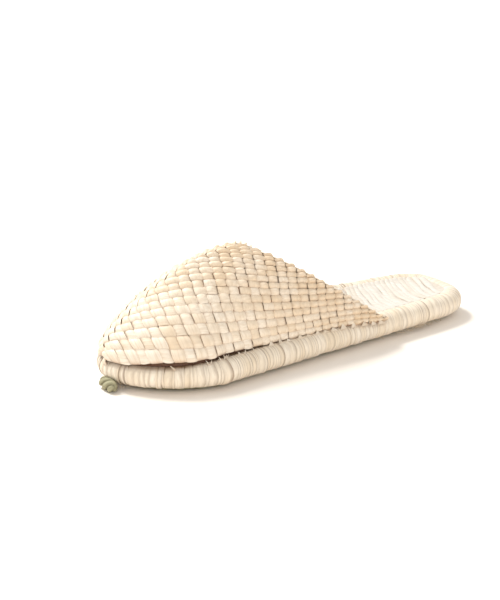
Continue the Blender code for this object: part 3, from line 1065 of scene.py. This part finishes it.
@dataclass
class Footbed:
    """The dished inner sole: husk strands laid side by side from rim to rim."""

    form: SlipperForm
    kit: ShaderKit
    pitch: float = 3.7 * MM
    strand: float = 2.7 * MM
    flat: float = 0.32
    drift: float = -0.36
    bend: float = 7.0
    rim_in: float = 9.6 * MM
    base_in: float = 10.8 * MM
    base_thick: float = 6 * MM
    shortest: float = 0.3
    gap_to: float = 125 * MM
    gap_fade: float = 12 * MM
    dish_inset_mm: tuple[float, ...] = (9.6, 12.5, 16.0, 30.0, 45.0)
    dish_height_mm: tuple[float, ...] = (17.2, 16.5, 15.3, 14.0, 13.7)

    def dish(self, x: np.ndarray, back: np.ndarray) -> np.ndarray:
        """Height of the footbed's face at a place."""
        from_end = np.minimum(back, self.form.length - back) * 0.8
        inset = np.minimum(self.form.inset_at(x, back), from_end)
        return np.interp(inset, np.array(self.dish_inset_mm) * MM, np.array(self.dish_height_mm) * MM)

    def in_gap(self, x: np.ndarray, back: np.ndarray) -> np.ndarray:
        """Shade of the footbed's rim where it shows in the gap under the upper's front edge."""
        past_rim = np.maximum(self.form.inset_at(x, back) - self.rim_in - 3 * MM, 0)
        return 0.97 * np.clip((self.gap_to - back) / self.gap_fade, 0, 1) * np.exp(-past_rim / (5 * MM))

    def build(self) -> None:
        """Lay the base and the strands."""
        rng = random.Random(SEED + 2)
        self._base()
        back, wide = self.form.side_line(self.rim_in)
        order = np.argsort(back)
        back, wide = back[order], wide[order]
        first, last = back[0] + 2 * MM, back[-1] - 1 * MM
        count = round((last - first) / self.pitch)
        strands = []
        for n in range(-3, count + 4):
            at = first + (n + 0.5 + rng.uniform(-0.3, 0.3)) * (last - first) / count
            strand = self._strand(at, back, wide, rng)
            if strand is not None:
                strands.append(strand)
        piece = Bench.join("footbed_strands", strands)
        Bench.outward(piece)
        Bench.finish(piece, self.kit, STRANDS, 70)
        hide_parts("footbed")

    def _lean(self, x: np.ndarray) -> np.ndarray:
        """How far back a strand runs from its middle, at each distance across."""
        return self.drift * x + self.bend * np.maximum(x, 0) ** 2

    def _base(self) -> None:
        """The layer under the strands."""
        piece, co, turn = Bench.disc("footbed_base", 3)
        reach = np.hypot(co[:, 0], co[:, 1])
        edge, _ = self.form.outline(self.base_in, 1600)
        flat = edge[self.form.nearest(turn, edge)]
        x = flat[:, 0] * reach
        y = (flat[:, 1] - self.form.shift) * (0.25 + 0.75 * reach) + self.form.shift
        back = y - self.form.tip_y
        points = np.column_stack([x, y, self.dish(x, back) - 0.1 * MM])
        uv = np.column_stack([co[:, 0] * 8, co[:, 1] * 20])
        # Light painted shade overall, deeper in the gap under the upper's front edge.
        Bench.lay(piece, points, uv, 0.5, np.maximum(0.15, self.in_gap(x, back)))
        Bench.thicken(piece, self.base_thick)
        Bench.outward(piece)
        Bench.finish(piece, self.kit, STRANDS)
        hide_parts("footbed")

    def _strand(self, at: float, back: np.ndarray, wide: np.ndarray, rng: random.Random) -> bpy.types.Object | None:
        """Lay one strand across the footbed.

        Args:
            at: Its distance back at the middle.
            back: Distances back of the footbed's rim.
            wide: Half widths of the footbed's rim.
            rng: Seeded source of its irregularity.

        Returns:
            The strand, or None where it would be a short end at the toe or the heel.
        """
        x = np.linspace(-1, 1, 200) * self.form.ball_width / 2
        inside = np.abs(x) < np.interp(at + self._lean(x), back, wide, left=0, right=0)
        if inside.sum() < self.shortest * len(x):
            return None
        x0, x1 = x[inside][[0, -1]]
        piece, ring, share = Bench.capsule("strand", 10, 60)
        along = x0 + (x1 - x0) * share
        middle = at + self._lean(along)
        taper = np.clip(np.sin(share * math.pi) * 6, 0, 1)
        phase, sway = rng.uniform(0, 6.28), rng.uniform(0.3, 0.9) * MM
        turns = rng.uniform(0.045, 0.075) / MM
        lobe = 1 + 0.13 * np.cos(2 * (ring - turns * along * 6.28 * 0.35) + phase)
        place_back = middle + sway * np.sin(along * 70 + phase) + self.strand * lobe * taper * np.cos(ring)
        up = self.strand * self.flat * lobe * taper * np.sin(ring)
        z = self.dish(along, middle) + rng.uniform(0.0, 0.3) * MM + up
        # Painted shade on the strand's underside and sides.
        painted_shade = np.clip(0.75 - np.sin(ring), 0, 1) * 0.45
        uv = np.column_stack([ring / 3.14 + turns * along * 2.2, along * 160])
        points = np.column_stack([along, place_back + self.form.tip_y, z])
        Bench.lay(piece, points, uv, rng.uniform(0.1, 0.8), np.maximum(painted_shade, self.in_gap(along, place_back)))
        return piece


@dataclass
class RopeSole:
    """The sole's grass rope, coiled and pressed flat, with its twisted end at the toe."""

    form: SlipperForm
    kit: ShaderKit
    edge_in: float = 9.2 * MM
    outer_half: float = 2.9 * MM
    inner_half: tuple[float, float] = (1.2 * MM, 4.0 * MM)
    coils: int = 5
    spine_share: float = 0.86
    height: float = 4.2 * MM
    twist: float = 11.0 * MM
    backing_top: float = 5.2 * MM
    backing_thick: float = 3.6 * MM
    knot_length: float = 12.5 * MM
    knot_stretch: float = 1.25
    knot_radius: float = 3.4 * MM
    knot_lift: float = 0.3 * MM
    knot_strand: float = 1.16
    knot_turns: float = 0.9
    knot_forward: float = 0.2 * MM
    knot_side: float = 6.3 * MM

    def build(self) -> None:
        """Coil the rope and add its end."""
        shift = self.form.shift
        base, _ = self.form.outline(self.edge_in + self.outer_half, 2000)
        reach = (self.form.length / 2 - self.edge_in - self.outer_half) * self.spine_share
        spine = np.column_stack([np.zeros(len(base)), np.clip(base[:, 1] - shift, -reach, reach) + shift])
        gap = np.linalg.norm(spine - base, axis=1) / self.coils / 2
        loops = []
        for k in range(self.coils):
            path = base + (spine - base) * k / self.coils
            half = np.full(len(base), self.outer_half) if k == 0 else np.clip(gap, *self.inner_half)
            loops.append(self._loop(path, half, 320 - 30 * k))
        piece = Bench.join("rope_coils", loops)
        Bench.outward(piece)
        Bench.finish(piece, self.kit, GRASS, 80)
        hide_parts("outsole")
        self._backing(base)
        self._knot()

    def _loop(self, path: np.ndarray, half: np.ndarray, count: int) -> bpy.types.Object:
        """One closed turn of rope.

        Args:
            path: Its middle line in plan.
            half: Half of its width along the line.
            count: Stations along it.

        Returns:
            The turn as a closed tube.
        """
        piece, ring, section = Bench.torus("loop", count, 12)
        spot = self.form.nearest(ring, path)
        outward = self.form.normals(path, 10)
        step = np.linalg.norm(np.roll(path, -1, 0) - path, axis=1)
        along = np.concatenate([[0], np.cumsum(step)[:-1]])
        turns = max(1, round(along[-1] / self.twist))
        wind = along[spot] / along[-1] * TAU * turns
        lobe = 0.84 + 0.16 * np.abs(np.cos(1.5 * (section - wind / 3)))
        flat = path[spot] + outward[spot] * (half[spot] * lobe * np.cos(section) * 1.06)[:, None]
        height = self.height / 2 * (1 + np.sin(section) * lobe)
        uv = np.column_stack([section / 6.28 + wind * 0.16, along[spot] * 120])
        # Painted shade in the grooves between the rope's strands.
        Bench.lay(piece, np.column_stack([flat, height]), uv, 0.5, np.clip((1.0 - lobe) * 5.5, 0, 1))
        return piece

    def _backing(self, base: np.ndarray) -> None:
        """The mat that the coils are sewn to, between them and the footbed."""
        piece, co, turn = Bench.disc("sole_backing", 0)
        flat = base[self.form.nearest(turn, base)]
        points = np.column_stack([flat, np.full(len(flat), self.backing_top)])
        Bench.lay(piece, points, co[:, :2] * 12, 0.5, 0.5)
        Bench.thicken(piece, self.backing_thick)
        Bench.outward(piece)
        Bench.finish(piece, self.kit, GRASS)
        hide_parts("outsole")

    def _knot(self) -> None:
        """The rope's end under the toe: fat strands twisted together."""
        piece, ring, share = Bench.capsule("rope_end", 48, 64)
        girth = np.sqrt(np.maximum(1 - np.abs(2 * share - 1) ** 4, 0))
        wind = ring + TAU * self.knot_turns * share
        lobe = 0.60 + 0.40 * np.abs(np.cos(1.5 * wind)) ** 0.55
        reach = self.knot_radius * girth * lobe * self.knot_strand
        x = self.knot_side + (share - 0.5) * self.knot_length * self.knot_stretch
        y = self.form.tip_y - self.knot_forward + reach * np.cos(ring)
        z = np.maximum(self.knot_radius + self.knot_lift + reach * np.sin(ring), 0)
        # Painted shade in the grooves between the end's strands.
        painted_shade = np.clip((1 - lobe) * 2.6 - 0.08, 0, 1)
        Bench.lay(piece, np.column_stack([x, y, z]), np.column_stack([wind / 3, share * 3]), 0.5, painted_shade)
        Bench.outward(piece)
        Bench.finish(piece, self.kit, GRASS_END, 80)
        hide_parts("rope_knot")


@dataclass
class LooseHusk:
    """Small husk ends and frays where the upper meets the roll, and stray fibres."""

    form: SlipperForm
    kit: ShaderKit
    tufts_from: float = 96 * MM
    spacing: float = 7.0 * MM
    leaf: float = 0.3 * MM
    frays: int = 18
    fray_at_mm: tuple[float, float] = (57, 13)
    fray_slender: float = 0.32
    fibres: int = 110
    fibre_radius: float = 0.16 * MM

    def build(self) -> None:
        """Add the tufts and the fibres."""
        rng = random.Random(SEED + 3)
        self._tufts(rng)
        self._fibres(rng)

    def _tufts(self, rng: random.Random) -> None:
        """Pointed ends of leaf between the upper and the roll, and slender frays in the gap."""
        leaves = []
        back = self.tufts_from
        while back < self.form.collar_end_back - 3 * MM:
            for side in (1, -1):
                leaves.append(self._leaf(back + rng.uniform(-1, 1) * MM, side, rng, 1.0, 0.35))
            back += self.spacing * rng.uniform(0.7, 1.3)
        for _ in range(self.frays):
            for side in (1, -1):
                leaves.append(self._leaf(rng.gauss(*self.fray_at_mm) * MM, side, rng, self.fray_slender, 0.5))
        piece = Bench.join("edge_tufts", leaves)
        Bench.thicken(piece, self.leaf)
        Bench.finish(piece, self.kit, WOUND)

    def _leaf(self, back: float, side: int, rng: random.Random, slender: float, shade: float) -> bpy.types.Object:
        """One small pointed leaf that rises from the roll against the upper.

        Args:
            back: Its distance back from the tip.
            side: 1 for the near side, -1 for the far side.
            rng: Seeded source of its shape.
            slender: Its width against a tuft's.
            shade: Shade at its root.

        Returns:
            The leaf as an open sheet.
        """
        piece, along, across = Bench.grid("leaf", 6, 3)
        v = (2 * across - 1) * (1 - along**1.6) * rng.uniform(1.6, 2.9) * MM * slender
        lean = rng.uniform(-1.5, 1.5) * MM / slender**0.7
        tall = rng.uniform(1.6, 3.8) * MM
        spot = np.array([back])
        wide, low = self.form.upper_half_width(spot)[0], self.form.foot_height(spot)[0]
        out = 2.4 * MM - 0.9 * MM * along + 0.5 * MM * np.sin(along * 3.1)
        y = back + v + lean * along + self.form.tip_y
        points = np.column_stack([side * (wide + out), y, low - 1.6 * MM + tall * along])
        if side < 0:
            piece.data.flip_normals()
        tone = rng.uniform(0.2, 0.9)
        Bench.lay(piece, points, np.column_stack([across, along]), tone, shade * (1 - 0.7 * along))
        return piece

    def _fibres(self, rng: random.Random) -> None:
        """Stray fibres under the roll, at the heel's near side and round the rope's end."""
        data = bpy.data.curves.new("stray_fibres", "CURVE")
        data.dimensions = "3D"
        data.bevel_depth = self.fibre_radius
        data.bevel_resolution = 0
        data.use_fill_caps = True
        line, _ = self.form.outline(3.2 * MM, 800)
        for _ in range(self.fibres):
            at_heel = rng.random() < 0.85
            share = rng.gauss(0.383, 0.014) if at_heel else rng.uniform(0.012, 0.035)
            root = line[int(share * len(line)) % len(line)]
            start = Vector((*root, rng.uniform(2.6, 5.0) * MM))
            out = Vector((*(root - root * 0.9), 0)).normalized()
            turn = Vector((rng.uniform(-1, 1), rng.uniform(-1, 1), rng.uniform(-0.6, 0.2)))
            spline = data.splines.new("POLY")
            spline.points.add(3)
            for k, point in enumerate(spline.points):
                step = k * rng.uniform(0.4, 1.0) * MM
                at = start + out * step * 0.8 + turn * step
                at.z = max(at.z, 0.3 * MM)
                point.co = (*at, 1)
                point.radius = 1.0 - 0.2 * k
        piece = bpy.data.objects.new("stray_fibres", data)
        bpy.context.scene.collection.objects.link(piece)
        Bench.pick(piece)
        bpy.ops.object.convert(target="MESH")
        piece = bpy.context.object
        co = Bench.places(piece)
        Bench.lay(piece, co, co[:, :2] * 400, 0.9, 0.3)
        Bench.finish(piece, self.kit, WOUND)


@dataclass
class Studio:
    """Pale floor, soft light and the photograph's camera."""

    azimuth: float = 55.4
    elevation: float = 19.1
    distance: float = 1.1
    focal_px: float = 1740.8
    long_side_px: float = 600.0
    sensor: float = 36.0
    target: tuple[float, float, float] = (-0.0093, -0.0189, 0.030)
    world_strength: float = 0.66

    def build(self) -> None:
        """Set the floor, the lights, the world and the camera."""
        self._floor()
        self._lights()
        self._camera()

    @staticmethod
    def _floor() -> None:
        """A pale floor that the slipper stands on."""
        Bench.clear()
        bpy.ops.mesh.primitive_plane_add(size=30.0, location=(0, 0, 0))
        floor = Bench.named("studio_floor")
        made = bpy.data.materials.new("studio_floor")
        made.use_nodes = True
        shader = made.node_tree.nodes["Principled BSDF"]
        shader.inputs["Base Color"].default_value = (0.97, 0.91, 0.84, 1)
        shader.inputs["Roughness"].default_value = 0.9
        shader.inputs["Specular IOR Level"].default_value = 0.1
        floor.data.materials.append(made)

    def _lights(self) -> None:
        """Two soft lights, one above the far side and one filling from the camera's side, in a pale world."""
        for name, place, size, power in (
            ("key_light", (-1.25, -0.42, 1.75), 0.8, 54.0),
            ("front_fill", (2.1, -0.9, 0.9), 2.0, 20.0),
        ):
            bpy.ops.object.light_add(type="AREA", location=place)
            lamp = bpy.context.object
            lamp.name = name
            lamp.data.size = size
            lamp.data.energy = power
            away = Vector((0, 0, 0.03)) - Vector(place)
            lamp.rotation_euler = away.to_track_quat("-Z", "Y").to_euler()
        world = bpy.data.worlds.new("studio")
        world.use_nodes = True
        sky = world.node_tree.nodes["Background"]
        sky.inputs["Color"].default_value = (1.0, 0.99, 0.97, 1)
        sky.inputs["Strength"].default_value = self.world_strength
        bpy.context.scene.world = world
        bpy.context.scene.view_settings.view_transform = "Standard"

    def _camera(self) -> None:
        """The camera at the photograph's angle."""
        turn, rise = math.radians(self.azimuth), math.radians(self.elevation)
        back = Vector((math.sin(turn) * math.cos(rise), -math.cos(turn) * math.cos(rise), math.sin(rise)))
        bpy.ops.object.camera_add(location=Vector(self.target) + back * self.distance)
        camera = bpy.context.object
        camera.name = "photo_camera"
        camera.rotation_mode = "QUATERNION"
        camera.rotation_quaternion = (-back).to_track_quat("-Z", "Y")
        camera.data.sensor_width = self.sensor
        camera.data.lens = self.focal_px * self.sensor / self.long_side_px
        camera.data.clip_start = 0.05
        camera.data.clip_end = 60.0
        bpy.context.scene.camera = camera


def main() -> None:
    """Build the slipper's sub-assemblies and the studio."""
    logging.basicConfig(level=logging.INFO, format="%(name)s: %(message)s")
    form, kit = SlipperForm(), ShaderKit()
    Studio().build()
    PlaitedUpper(form, kit).build()
    EdgeRoll(form, kit).build()
    Footbed(form, kit).build()
    RopeSole(form, kit).build()
    LooseHusk(form, kit).build()


if __name__ == "__main__":
    main()
